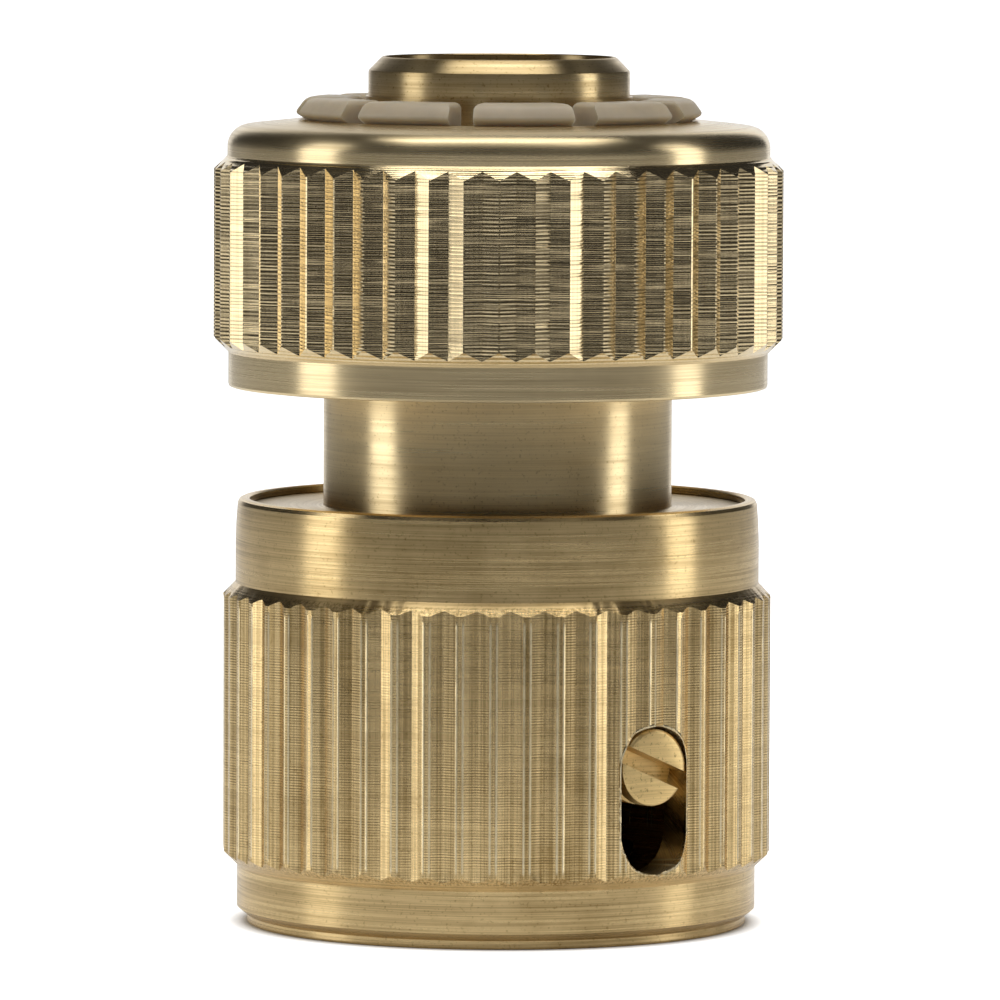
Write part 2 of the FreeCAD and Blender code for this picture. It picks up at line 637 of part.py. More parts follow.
def jaw(document, number):
    """One jaw: a hook over and under the sleeve's lip, and a lug through a window of the stem."""
    name = f"jaw_{number + 1:02d}"
    body = new_body(document, name, turn=f"jaw_first_angle + {number} * 360 / jaw_count")
    turned(body, f"{name}_hook", [
        ("jaw_inner_radius", "jaw_bottom + ramp_slope * jaw_foot_bevel"),
        ("jaw_inner_radius + jaw_foot_bevel", "jaw_bottom"),
        ("jaw_back_radius", "jaw_bottom"),
        ("jaw_back_radius", "hook_top_tip - hook_edge - hook_slope"),
        ("hook_radius", "hook_top_tip - hook_edge"),
        ("hook_radius", "hook_top_tip"),
        ("hook_back_radius", "hook_top_back"),
        ("hook_back_radius", "lip_under_back"),
        ("jaw_lip_radius", "lip_under_edge"),
        ("jaw_top_radius", "sleeve_top + jaw_stand"),
        ("jaw_upper_radius", "sleeve_top + jaw_stand"),
        ("jaw_upper_radius", "jaw_window_top + jaw_step"),
        ("jaw_inner_radius", "jaw_window_top"),
    ], angle="360 / jaw_count - jaw_gap_angle")
    tip = "(nose_bore_radius - jaw_open)"
    root = "jaw_upper_radius"
    slope = "lug_top - lug_bottom - lug_nose"
    section = outline(body, f"{name}_lug_section", "XZ_Plane", [
        (tip, "lug_bottom"),
        (root, "lug_bottom"),
        (root, "lug_top"),
        (f"{tip} + {slope}", "lug_top"),
        (tip, "lug_bottom + lug_nose"),
    ])
    lug = feature(body, "Pad", f"{name}_lug", section)
    lug.SideType = "Symmetric"
    lug.setExpression("Length", bound("lug_width"))
    document.recompute()
    rounding = body.newObject("PartDesign::Fillet", f"{name}_round")
    rounding.Base = (lug, [edge_name for edge_name, edge in top_edges(lug.Shape)])
    rounding.setExpression("Radius", bound("jaw_round"))
    return body


def clamp_ring(document):
    """Ring round the hose inside the shell, with a threaded hole for the clamp screw."""
    body = new_body(document, "clamp_ring", turn="window_angle")
    turned(body, "plain_ring", [
        ("clamp_inner_radius", "clamp_level - clamp_width / 2"),
        ("clamp_outer_radius", "clamp_level - clamp_width / 2"),
        ("clamp_outer_radius", "clamp_level + clamp_width / 2"),
        ("clamp_inner_radius", "clamp_level + clamp_width / 2"),
    ])
    hole = disc(body, "screw_hole_section", "YZ_Plane", "0", "clamp_level", "screw_radius + screw_gap")
    cut_outwards(body, "screw_hole", hole, f"{PAST_WALL} * clamp_outer_radius")
    return body


def pressure_shoe(document):
    """Curved shoe between screw and hose. The screw's pin sits in its blind hole."""
    body = new_body(document, "pressure_shoe", turn="window_angle")
    inner = "shoe_outer_radius - shoe_thickness"
    plate = turned(body, "shoe_plate", [
        (inner, "clamp_level - shoe_width / 2"),
        ("shoe_outer_radius", "clamp_level - shoe_width / 2"),
        ("shoe_outer_radius", "clamp_level + shoe_width / 2"),
        (inner, "clamp_level + shoe_width / 2"),
    ], angle="shoe_angle")
    pocket_floor = "shoe_outer_radius + screw_gap - pin_length - pin_gap"
    hole = disc(body, "pin_hole_section", "YZ_Plane", "0", "clamp_level", "pin_radius + pin_gap",
                lift=pocket_floor)
    cut_outwards(body, "pin_hole", hole, "2 * shoe_thickness")
    return body


def clamp_screw(document):
    """Slotted screw without a head, its end flush with the shell. It points along +X."""
    body = new_body(document, "clamp_screw", turn="window_angle", lift="clamp_level")
    shank = "(shoe_outer_radius + screw_gap)"
    turned(body, "shank", [
        (f"{shank} - pin_length", "0"),
        ("screw_head", "0"),
        ("screw_head", "screw_radius - screw_edge"),
        ("screw_head - screw_edge", "screw_radius"),
        (f"{shank} + screw_edge", "screw_radius"),
        (shank, "screw_radius - screw_edge"),
        (shank, "pin_radius"),
        (f"{shank} - pin_length", "pin_radius"),
    ], axis="H_Axis")
    slot = outline(body, "slot_section", "YZ_Plane", [
        ("-2 * screw_radius", "-slot_width / 2"),
        ("2 * screw_radius", "-slot_width / 2"),
        ("2 * screw_radius", "slot_width / 2"),
        ("-2 * screw_radius", "slot_width / 2"),
    ], phase="-slot_angle")
    slot.setExpression("AttachmentOffset.Base.z", bound("screw_head - slot_depth"))
    cut_outwards(body, "slot", slot, "2 * slot_depth")
    return body


def check(document, pieces):
    """Stops before anything is written if a feature failed, cut nothing, or left no solid."""
    for item in document.Objects:
        if "Invalid" in item.State or "Error" in item.State:
            raise RuntimeError(f"{item.Name} failed")
        if item.TypeId in ("PartDesign::Pocket", "PartDesign::Groove"):
            if item.Shape.Volume > item.BaseFeature.Shape.Volume - 0.001:
                raise RuntimeError(f"{item.Name} cuts nothing")
    for piece in pieces:
        shape = piece.Shape
        if shape.isNull() or not shape.isValid() or len(shape.Solids) != 1:
            raise RuntimeError(f"{piece.Label} is not one valid solid")


def build():
    """Makes every piece and writes its file."""
    document = FreeCAD.newDocument("hose_quick_connector")
    fill_sheet(document)
    pieces = [
        clamp_shell(document),
        socket_body(document),
        hose_tail(document),
        tail_seal(document),
        release_sleeve(document),
        guide_bush(document),
        snap_ring(document),
        spring_washer(document),
        sleeve_spring(document),
        clamp_ring(document),
        pressure_shoe(document),
        clamp_screw(document),
    ]
    for number in range(COUNTS["jaw_count"]):
        pieces.append(jaw(document, number))
    document.recompute()
    check(document, pieces)
    os.makedirs("parts", exist_ok=True)
    for piece in pieces:
        piece.Shape.exportStep(f"parts/{piece.Label}.step")
        print(f"{piece.Label}: {piece.Shape.Volume:.2f} mm3")


build()
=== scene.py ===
"""Looks of the hose quick connector: turned brass, two knurls, ten plastic jaws and a clamp screw.

Everything is in the frame of the CAD: metres, Z up, the foot on the floor at Z = 0, and the front
towards -Y. Sections and levels are written in millimetres, as in the CAD source."""
import math

import bmesh
import bpy
from mathutils import Matrix, Vector


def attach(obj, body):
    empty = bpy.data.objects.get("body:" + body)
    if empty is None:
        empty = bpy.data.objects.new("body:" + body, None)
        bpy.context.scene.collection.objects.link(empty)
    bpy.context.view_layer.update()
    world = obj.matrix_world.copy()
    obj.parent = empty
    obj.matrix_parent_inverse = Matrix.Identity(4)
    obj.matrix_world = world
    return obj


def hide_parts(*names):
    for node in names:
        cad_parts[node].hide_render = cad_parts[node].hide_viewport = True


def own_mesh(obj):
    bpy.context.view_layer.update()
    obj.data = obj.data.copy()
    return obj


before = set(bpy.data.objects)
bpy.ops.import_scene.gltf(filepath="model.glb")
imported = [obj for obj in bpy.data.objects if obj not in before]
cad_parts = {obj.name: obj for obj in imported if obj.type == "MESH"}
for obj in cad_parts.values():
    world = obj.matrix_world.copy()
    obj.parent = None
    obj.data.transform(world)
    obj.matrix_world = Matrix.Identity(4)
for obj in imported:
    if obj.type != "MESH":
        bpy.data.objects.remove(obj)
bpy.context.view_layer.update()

MM = 0.001
FULL_TURN = 2 * math.pi
# Points closer than this are one point
WELD = 0.001 * MM

# What several pieces share, in millimetres and degrees
RIDGES = 52
RIDGE_ANGLE = 360 / RIDGES
RIDGE_COLUMNS = 8
JAWS = 10
FIRST_JAW = -82.8
JAW_STEP = 360 / JAWS
JAW_ANGLE = JAW_STEP - 7.1
WINDOW_TURN = -54.8
WINDOW_LEVEL = 10.3
WINDOW_RADIUS = 2.92
WINDOW_STRAIGHT = 2.28
CLAMP_LEVEL = 12.58
SHOE_ANGLE = 76
SCREW_SLOT_ANGLE = -23

# Direction of one groove of each knurl
SLEEVE_PHASE = 3.66
SHELL_PHASE = WINDOW_TURN + 2.27


def pick(piece):
    """Selects one piece alone."""
    bpy.ops.object.select_all(action="DESELECT")
    bpy.context.view_layer.objects.active = piece
    piece.select_set(True)


def start_edit(piece):
    """Opens the mesh of one piece, with points selectable."""
    pick(piece)
    bpy.ops.object.mode_set(mode="EDIT")
    bpy.ops.mesh.select_mode(type="VERT")


def end_edit():
    bpy.ops.object.mode_set(mode="OBJECT")


def select_points(piece, chosen):
    """Selects the points of the open mesh whose place passes the test."""
    bpy.ops.mesh.select_all(action="DESELECT")
    mesh = bmesh.from_edit_mesh(piece.data)
    for point in mesh.verts:
        point.select = chosen(point.co)
    mesh.select_flush(True)
    bmesh.update_edit_mesh(piece.data)


def settle(piece):
    """Puts the piece's place into its mesh, so that the object sits at the origin."""
    pick(piece)
    bpy.ops.object.transform_apply(location=True, rotation=True, scale=True)


def smooth(piece, angle):
    """Shades the piece smooth where its faces meet under this angle, in degrees."""
    pick(piece)
    bpy.ops.object.shade_smooth_by_angle(angle=math.radians(angle))


def apply_modifiers(piece):
    bpy.context.view_layer.objects.active = piece
    for modifier in list(piece.modifiers):
        bpy.ops.object.modifier_apply(modifier=modifier.name)


def turn_selected(angle, axis="Z"):
    """Turns the selected points about an axis through the origin, the angle in degrees."""
    bpy.ops.transform.rotate(value=-math.radians(angle), orient_axis=axis, center_override=(0, 0, 0))


def turn_piece(piece, angle, axis="Z"):
    """Turns the whole mesh of a piece."""
    start_edit(piece)
    bpy.ops.mesh.select_all(action="SELECT")
    turn_selected(angle, axis)
    end_edit()


def arc(centre, radius, first, last, steps):
    """Points of an arc in a section, from the first to the last angle, in degrees."""
    points = []
    for step in range(steps + 1):
        angle = math.radians(first + (last - first) * step / steps)
        points.append((centre[0] + radius * math.cos(angle), centre[1] + radius * math.sin(angle)))
    return points


def turn_on_lathe(name, section, steps, angle=360, first=0, closed=True):
    """A section of (radius, height) points, drawn point by point and turned about Z.

    The section is closed, unless it starts and ends on the axis."""
    bpy.ops.object.select_all(action="DESELECT")
    start = section[0]
    bpy.ops.mesh.primitive_plane_add(size=MM, location=(start[0] * MM, 0, start[1] * MM))
    piece = bpy.context.object
    piece.name = name
    piece.data.name = name
    settle(piece)
    start_edit(piece)
    bpy.ops.mesh.select_all(action="SELECT")
    bpy.ops.mesh.merge(type="CENTER")
    loop = section[1:] + ([start] if closed else [])
    last = start
    for point in loop:
        step = ((point[0] - last[0]) * MM, 0, (point[1] - last[1]) * MM)
        bpy.ops.mesh.extrude_region_move(TRANSFORM_OT_translate={"value": step})
        last = point
    bpy.ops.mesh.select_all(action="SELECT")
    bpy.ops.mesh.remove_doubles(threshold=WELD)
    if angle < 360:
        bpy.ops.mesh.edge_face_add()
    if first:
        turn_selected(first)
    bpy.ops.mesh.spin(steps=steps, angle=math.radians(angle), center=(0, 0, 0), axis=(0, 0, -1))
    bpy.ops.mesh.select_all(action="SELECT")
    bpy.ops.mesh.remove_doubles(threshold=WELD)
    bpy.ops.mesh.normals_make_consistent(inside=False)
    end_edit()
    return piece


def cut(piece, tool):
    """Takes the tool's shape out of the piece and throws the tool away."""
    modifier = piece.modifiers.new("cut", "BOOLEAN")
    modifier.operation = "DIFFERENCE"
    modifier.solver = "EXACT"
    modifier.object = tool
    apply_modifiers(piece)
    bpy.data.objects.remove(tool)


def join_into(piece, others):
    """Makes the others part of the piece's mesh."""
    bpy.ops.object.select_all(action="DESELECT")
    for other in others:
        other.select_set(True)
    piece.select_set(True)
    bpy.context.view_layer.objects.active = piece
    bpy.ops.object.join()


def knurl_rows(low, high, spacing):
    """Even rows between two levels, an odd number of them, so that both ends stand proud."""
    count = 2 * round((high - low) / spacing / 2)
    return [low + (high - low) * row / count for row in range(count + 1)]


def mill_knurl(piece, rows, radius, depth, land, phase, chatter, edge):
    """Mills the straight V grooves of a knurl into the plain rows that the lathe left.

    land is the width of a ridge's flat top, edge the width of the rounding beside it, chatter the
    depth of the cutter's marks, and phase the direction of a groove. The columns of a ridge: 0 is
    the root of the groove, 4 the crest, 3 and 5 the edges of its land, and 2 and 6 lie an edge's
    width further down the flank, where the rounding ends."""
    column_step = RIDGE_ANGLE / RIDGE_COLUMNS
    land_half = math.degrees(land / 2 / radius)
    groove_half = RIDGE_ANGLE / 2 - land_half
    low, high = rows[0] * MM, rows[-1] * MM
    margin = 0.01 * MM
    row_step = (rows[1] - rows[0]) * MM
    last_row = len(rows) - 1

    def flank(turn):
        """Radius of the groove's flank at an angle from its root."""
        along = math.radians(turn)
        root = radius - depth
        edge_x = radius * math.cos(math.radians(groove_half))
        edge_y = radius * math.sin(math.radians(groove_half))
        return root * edge_y / (edge_y * math.cos(along) - (edge_x - root) * math.sin(along))

    start_edit(piece)
    edit = bmesh.from_edit_mesh(piece.data)
    groups = {}
    for point in edit.verts:
        place = point.co
        outside = math.hypot(place.x, place.y) > radius * MM - margin
        if outside and low - margin < place.z < high + margin:
            turn = math.degrees(math.atan2(place.y, place.x)) - phase
            groups.setdefault(round(turn / column_step) % RIDGE_COLUMNS, []).append(point)

    def select(columns, test=None):
        """Selects columns of all ridges, or those of their points whose row passes the test."""
        bpy.ops.mesh.select_all(action="DESELECT")
        for number in columns:
            for point in groups[number]:
                point.select = test is None or test(round((point.co.z - low) / row_step))
        edit.select_flush(True)

    edge_turn = math.degrees(edge / radius)
    # The rounding stands a little over the corner's straight flank
    proud = 0.25 * edge * math.tan(math.radians(20))
    places = {0: 0, 1: (groove_half - edge_turn) / 2, 2: groove_half - edge_turn, 3: groove_half}
    for number, place in places.items():
        shift = place - number * column_step
        if shift:
            for column, turn in ((number, shift), (RIDGE_COLUMNS - number, -shift)):
                select([column])
                turn_selected(turn)
        reach = flank(place) if number < 3 else radius
        if number == 2:
            reach += proud
        factor = reach / radius
        drop = (radius - reach) * MM
        columns = {number, -number % RIDGE_COLUMNS}
        select(columns)
        bpy.ops.transform.resize(value=(factor, factor, 1), center_override=(0, 0, 0))
        select(columns, lambda row: row == 0)
        bpy.ops.transform.translate(value=(0, 0, -drop))
        select(columns, lambda row: row == last_row)
        bpy.ops.transform.translate(value=(0, 0, drop))
    # Every other row of the groove and its flanks is a little deeper: the marks of the cutter
    select((0, 1, 2, 6, 7), lambda row: 0 < row < last_row and row % 2 == 1)
    factor = 1 - chatter / radius
    bpy.ops.transform.resize(value=(factor, factor, 1), center_override=(0, 0, 0))
    end_edit()


def roughen(piece, low, high, inner, offset, seed):
    """Moves the points between two levels and outside a radius a little at random, as burrs do."""
    start_edit(piece)
    select_points(piece, lambda place: low * MM <= place.z <= high * MM
                  and math.hypot(place.x, place.y) > inner * MM)
    bpy.ops.transform.vertex_random(offset=offset * MM, uniform=0, normal=0, seed=seed)
    end_edit()


# The release sleeve

SLEEVE_LOW = 38.25
SLEEVE_TOP = 57.25
SLEEVE_KNURL = 20.25
upper_rows = knurl_rows(41.75, 53.7, 0.215)
sleeve = turn_on_lathe("sleeve_dress", [
    (17.6, SLEEVE_LOW), (19.0, SLEEVE_LOW), (19.14, 38.30), (19.2, 38.45), (19.2, 40.7),
    *[(SLEEVE_KNURL, row) for row in upper_rows],
    (19.3, 54.65),
    *arc((17.75, 55.3), 1.55, 0, 84, 12),
    (14.05, SLEEVE_TOP), (13.9, 57.1), (13.9, 55.0),
    (15.9, 56.23), (15.9, 55.0), (17.6, 55.0),
], RIDGES * RIDGE_COLUMNS, first=SLEEVE_PHASE)
mill_knurl(sleeve, upper_rows, SLEEVE_KNURL, depth=0.6, land=0.12, phase=SLEEVE_PHASE, chatter=0.014,
           edge=0.07)
smooth(sleeve, 18)

# The clamp shell with its window

SHELL_KNURL = 19.5
lower_rows = knurl_rows(5.13, 23.4, 0.25)
shell = turn_on_lathe("shell_dress", [
    (17.0, 0.0), (17.65, 0.0), (17.76, 0.05), (17.8, 0.15), (17.8, 0.6), (18.5, 1.15), (18.5, 4.13),
    *[(SHELL_KNURL, row) for row in lower_rows],
    (18.65, 24.3), (18.65, 27.2), (18.6, 28.6), (18.5, 29.95), (18.38, 30.2), (18.15, 30.3),
    (17.75, 30.3), (17.65, 30.2), (17.65, 29.8), (18.05, 29.4), (18.05, 27.2), (16.6, 27.2), (16.6, 0.4),
], RIDGES * RIDGE_COLUMNS, first=SHELL_PHASE)
mill_knurl(shell, lower_rows, SHELL_KNURL, depth=0.35, land=0.45, phase=SHELL_PHASE, chatter=0.004,
           edge=0.1)
roughen(shell, 23.3, 23.9, 19.0, 0.05, seed=3)
roughen(shell, 4.7, 5.3, 19.0, 0.04, seed=4)


def slot_tool():
    """The oval milling path of the window, as a solid across the wall."""
    bpy.ops.object.select_all(action="DESELECT")
    bpy.ops.mesh.primitive_cylinder_add(vertices=64, radius=WINDOW_RADIUS * MM, depth=8 * MM,
                                        location=(18 * MM, 0, WINDOW_LEVEL * MM),
                                        rotation=(0, math.pi / 2, 0))
    tool = bpy.context.object
    settle(tool)
    start_edit(tool)
    select_points(tool, lambda place: place.z > WINDOW_LEVEL * MM)
    bpy.ops.transform.translate(value=(0, 0, WINDOW_STRAIGHT * MM))
    select_points(tool, lambda place: place.z <= WINDOW_LEVEL * MM)
    bpy.ops.transform.translate(value=(0, 0, -WINDOW_STRAIGHT * MM))
    end_edit()
    turn_piece(tool, WINDOW_TURN)
    return tool


cut(shell, slot_tool())
smooth(shell, 15)

# The socket body: boss, disc, neck, stem and nose

body = turn_on_lathe("body_dress", [
    (9.5, 22.0), (13.6, 22.0), (13.6, 27.2), (18.0, 27.2), (18.0, 29.35), (17.6, 29.75),
    (12.5, 29.75), (12.43, 29.78), (12.4, 29.85), (12.4, 41.2), (11.8, 41.2), (11.8, 42.2), (12.4, 42.2),
    (12.4, 43.5), (10.96, 43.5), (9.3, 48.02), (9.3, 58.6), (9.5, 58.6), (9.5, 58.9), (9.3, 58.9),
    (9.3, 60.6), (9.26, 60.74), (8.42, 61.6), (8.3, 61.69), (8.26, 61.7), (8.2, 61.62), (8.2, 46.8),
    (8.0, 46.6), (8.0, 41.0), (7.4, 40.4), (7.4, 32.1), (9.5, 32.1),
], 208)


def jaw_window_tool(number):
    """The box that mills one jaw's window in the stem."""
    bpy.ops.object.select_all(action="DESELECT")
    bpy.ops.mesh.primitive_cube_add(size=MM, location=(9.2 * MM, 0, 49.7 * MM),
                                    scale=(3.8, 3.8, 5.6))
    tool = bpy.context.object
    settle(tool)
    turn_piece(tool, FIRST_JAW + number * JAW_STEP)
    return tool


window_tools = [jaw_window_tool(number) for number in range(JAWS)]
join_into(window_tools[0], window_tools[1:])
cut(body, window_tools[0])
smooth(body, 25)

# The hose tail with its barbs

BARBS = 5
BARB_STEP = 3.2
tail_section = [(7.4, 2.0), (8.4, 2.0), (8.9, 2.5)]
for barb in range(BARBS):
    start = 2.75 + BARB_STEP * barb
    tail_section += [(8.9, start), (9.76, start + 2.4), (9.8, start + 2.5), (9.8, start + 2.75),
                     (9.74, start + 2.8), (8.9, start + 2.8)]
tail_section += [(8.9, 19.5), (12.3, 19.5), (12.5, 19.7), (12.5, 22.0), (9.45, 22.0), (9.45, 30.5),
                 (7.4, 30.5)]
tail = turn_on_lathe("tail_dress", tail_section, 160)
smooth(tail, 25)

# The bush and the spring on the neck

bush = turn_on_lathe("bush_dress", [
    (12.48, 38.7), (12.63, 38.55), (17.6, 38.55), (17.6, 41.15), (12.63, 41.15), (12.48, 41.0),
], 160)
smooth(bush, 25)


def coil_spring():
    """The spring's wire, led round in a helix as a curve with a round bevel."""
    turns, points_a_turn = 5.5, 16
    low, high = 43.6, 54.45
    wire_radius = 0.5
    # The control points lie a little outside the helix, because the curve passes inside them
    radius = 16.85 * MM / 0.975
    bpy.ops.object.select_all(action="DESELECT")
    bpy.ops.curve.primitive_nurbs_path_add()
    wire = bpy.context.object
    wire.name = "spring_dress"
    line = wire.data.splines[0]
    count = int(turns * points_a_turn) + 1
    line.points.add(count - len(line.points))
    for number, point in enumerate(line.points):
        share = number / (count - 1)
        angle = share * turns * FULL_TURN
        point.co = (radius * math.cos(angle), radius * math.sin(angle), (low + (high - low) * share) * MM, 1)
    line.order_u = 3
    line.use_endpoint_u = True
    wire.data.resolution_u = 4
    wire.data.bevel_depth = wire_radius * MM
    wire.data.bevel_resolution = 3
    wire.data.use_fill_caps = True
    bpy.ops.object.convert(target="MESH")
    spring = bpy.context.object
    settle(spring)
    return spring


spring = coil_spring()
smooth(spring, 40)

# The ten jaws


def jaw_piece(number):
    """One jaw without its lug: the hook, turned over a part of the circle, with rounded corners."""
    turn = FIRST_JAW + number * JAW_STEP
    top_level, lip_level, lip_radius = 58.7, 57, 14.45
    piece = turn_on_lathe(f"jaw_{number + 1:02d}_dress", [
        (9.45, 47.815), (9.75, 47.0), (12.4, 47.0), (12.4, 52.751), (14.6, 53.951), (14.6, 55.351),
        (12.6, 54.118), (12.6, 56.528), (14.5, 57.7), (13.7, 58.8), (10.7, 58.8), (10.7, 53.75),
        (9.45, 52.5),
    ], 10, angle=JAW_ANGLE, first=turn - JAW_ANGLE / 2)
    bevel = piece.modifiers.new("corners", "BEVEL")
    bevel.width = 0.4 * MM
    bevel.segments = 3
    bevel.limit_method = "WEIGHT"
    start_edit(piece)
    mesh = bmesh.from_edit_mesh(piece.data)
    weights = mesh.edges.layers.float.new("bevel_weight_edge")
    for edge in mesh.edges:
        # The hook's upper edges are rounded, and its lip a little less
        a, b = edge.verts
        reach = min(math.hypot(a.co.x, a.co.y), math.hypot(b.co.x, b.co.y))
        top = min(a.co.z, b.co.z) > top_level * MM
        lip = reach > lip_radius * MM and a.co.z > lip_level * MM
        if (top or lip) and edge.calc_face_angle(0) > 0.3:
            edge[weights] = 1.0 if top else 0.6
    bmesh.update_edit_mesh(piece.data)
    end_edit()
    apply_modifiers(piece)
    return piece


def jaw_lug(number):
    """The lug that reaches through the stem's window into the bore."""
    tip, root, low, high = 7.0, 10.9, 50.36, 52.3
    # Height of the tip's front, below its slope
    blunt = 0.6
    middle = (tip + root) / 2 * MM, 0, (low + high) / 2 * MM
    bpy.ops.object.select_all(action="DESELECT")
    bpy.ops.mesh.primitive_cube_add(size=MM, location=middle, scale=(root - tip, 3.6, high - low))
    piece = bpy.context.object
    settle(piece)
    start_edit(piece)
    # The upper edge of the tip is drawn back, so that a plug pushes the lug outward
    select_points(piece, lambda place: place.x < middle[0] and place.z > middle[2])
    bpy.ops.transform.translate(value=((high - low - blunt) * MM, 0, 0))
    end_edit()
    turn_piece(piece, FIRST_JAW + number * JAW_STEP)
    return piece


jaws = []
for number in range(JAWS):
    jaw = jaw_piece(number)
    join_into(jaw, [jaw_lug(number)])
    smooth(jaw, 35)
    jaws.append(jaw)

# The hose clamp: ring, shoe and screw

ring = turn_on_lathe("clamp_ring_dress", [
    (14.5, 10.08), (16.4, 10.08), (16.5, 10.18), (16.5, 14.98), (16.4, 15.08), (14.5, 15.08),
    (14.4, 14.98), (14.4, 10.18),
], 160)


def hole_tool(radius, inner, outer):
    """A drill along +X at the clamp's level, turned to the window."""
    bpy.ops.object.select_all(action="DESELECT")
    bpy.ops.mesh.primitive_cylinder_add(vertices=48, radius=radius * MM, depth=(outer - inner) * MM,
                                        location=((inner + outer) / 2 * MM, 0, CLAMP_LEVEL * MM),
                                        rotation=(0, math.pi / 2, 0))
    tool = bpy.context.object
    settle(tool)
    turn_piece(tool, WINDOW_TURN)
    return tool


cut(ring, hole_tool(2.75, 12, 18))
smooth(ring, 25)

shoe = turn_on_lathe("shoe_dress", [
    (12.95, 10.48), (13.05, 10.38), (14.25, 10.38), (14.35, 10.48), (14.35, 14.68), (14.25, 14.78),
    (13.05, 14.78), (12.95, 14.68),
], 40, angle=SHOE_ANGLE, first=WINDOW_TURN - SHOE_ANGLE / 2)
cut(shoe, hole_tool(1.65, 13.6, 16))
smooth(shoe, 25)


def clamp_screw():
    """The slotted screw, turned upright, laid along +X and then turned to the window."""
    foot, head, pitch = 14.4, 19.2, 0.8
    section = [(0.0, foot - 0.75), (1.5, foot - 0.75), (1.6, foot - 0.65), (1.6, foot),
               (2.45, foot), (2.7, foot + 0.25)]
    level = foot + 0.5
    while level + pitch < head - 0.7:
        section += [(2.7, level), (2.32, level + 0.32), (2.32, level + 0.42), (2.7, level + 0.74)]
        level += pitch
    section += [(2.7, head - 0.28), (2.66, head - 0.14), (2.55, head - 0.04), (2.4, head), (0.0, head)]
    piece = turn_on_lathe("screw_dress", section, 96, closed=False)
    turn_piece(piece, 90, "Y")
    start_edit(piece)
    bpy.ops.mesh.select_all(action="SELECT")
    bpy.ops.transform.translate(value=(0, 0, CLAMP_LEVEL * MM))
    end_edit()
    slot_low, slot_depth, slot_width = 17.3, 3, 1.3
    bpy.ops.object.select_all(action="DESELECT")
    bpy.ops.mesh.primitive_cube_add(size=MM, location=((slot_low + slot_depth / 2) * MM, 0, CLAMP_LEVEL * MM),
                                    scale=(slot_depth, 8, slot_width),
                                    rotation=(math.radians(SCREW_SLOT_ANGLE), 0, 0))
    cutter = bpy.context.object
    settle(cutter)
    cut(piece, cutter)
    turn_piece(piece, WINDOW_TURN)
    return piece


screw = clamp_screw()
smooth(screw, 30)


# Finishes


class Wiring:
    """A tree of shader nodes under construction: makes nodes that are joined to others."""

    def __init__(self, tree):
        self.tree = tree

    def add(self, kind):
        return self.tree.nodes.new(kind)

    def join(self, source, target):
        self.tree.links.new(source, target)

    def put(self, socket, value):
        """Gives a socket a number, a colour or another node's output."""
        if isinstance(value, bpy.types.NodeSocket):
            self.join(value, socket)
        else:
            socket.default_value = value

    def math(self, operation, *values):
        made = self.add("ShaderNodeMath")
        made.operation = operation
        for socket, value in zip(made.inputs, values):
            self.put(socket, value)
        return made.outputs[0]

    def times(self, first, second):
        return self.math("MULTIPLY", first, second)

    def plus(self, first, second):
        return self.math("ADD", first, second)

    def minus(self, first, second):
        return self.math("SUBTRACT", first, second)

    def absolute(self, value):
        return self.math("ABSOLUTE", value)

    def length(self, first, second):
        """Length of the line that goes this far one way and that far across."""
        return self.math("SQRT", self.plus(self.times(first, first), self.times(second, second)))

    def spread(self, value, low, high, to_low=0.0, to_high=1.0):
        """Maps a value from one range to another, and holds it there."""
        made = self.add("ShaderNodeMapRange")
        self.put(made.inputs["Value"], value)
        for name, number in (("From Min", low), ("From Max", high), ("To Min", to_low), ("To Max", to_high)):
            self.put(made.inputs[name], number)
        return made.outputs[0]


class Finish(Wiring):
    """A material under construction, with the place on the piece in metres."""

    def __init__(self, name):
        self.material = bpy.data.materials.new(name)
        self.material.use_nodes = True
        super().__init__(self.material.node_tree)
        self.shader = self.tree.nodes["Principled BSDF"]
        self.place = self.add("ShaderNodeTexCoord").outputs["Object"]
        apart = self.add("ShaderNodeSeparateXYZ")
        self.join(self.place, apart.inputs[0])
        self.x, self.y, self.z = apart.outputs

    def give(self, name, value):
        """Gives a socket of the material's shader a value or a node's output."""
        self.put(self.shader.inputs[name], value)

    def vector(self, x, y, z):
        """Joins three values into one place, for a noise to be read at."""
        made = self.add("ShaderNodeCombineXYZ")
        for socket, value in zip(made.inputs, (x, y, z)):
            self.put(socket, value)
        return made.outputs[0]

    def noise(self, vector, scale, detail=3.0, roughness=0.55):
        made = self.add("ShaderNodeTexNoise")
        self.join(vector, made.inputs["Vector"])
        for name, value in (("Scale", scale), ("Detail", detail), ("Roughness", roughness)):
            made.inputs[name].default_value = value
        return made.outputs[0]

    def blend(self, share, first, second):
        """Mixes two colours."""
        made = self.add("ShaderNodeMix")
        made.data_type = "RGBA"
        self.put(made.inputs["Factor"], share)
        for socket, value in zip([s for s in made.inputs if s.type == "RGBA"], (first, second)):
            self.put(socket, value)
        return next(s for s in made.outputs if s.type == "RGBA")

    def bump(self, height, distance, over=None):
        """Relief of this height in metres, on top of the relief it is given."""
        made = self.add("ShaderNodeBump")
        made.inputs["Strength"].default_value = 1.0
        made.inputs["Distance"].default_value = distance
        self.join(height, made.inputs["Height"])
        if over is not None:
            self.join(over, made.inputs["Normal"])
        return made.outputs[0]


BRASS = (0.84, 0.67, 0.37, 1)
BRASS_DARK = (0.36, 0.24, 0.09, 1)
# A pale brass painted onto the burrs and the window's lip as a highlight
BRASS_PAINTED_HIGHLIGHT = (1.0, 0.88, 0.6, 1)

# Burrs along the shell's ridges, which also get a painted highlight: their place and width as shares of a
# ridge, and their height in millimetres. The lip round the window, also with a painted highlight: its
# distance from the window's middle line, and its size.
LAND_EDGE = 0.0955
BURR_WIDTH = 0.045
BURR_HEIGHT = 0.018
LIP_OFFSET = 3.0
LIP_WIDTH = 0.1
LIP_HEIGHT = 0.09


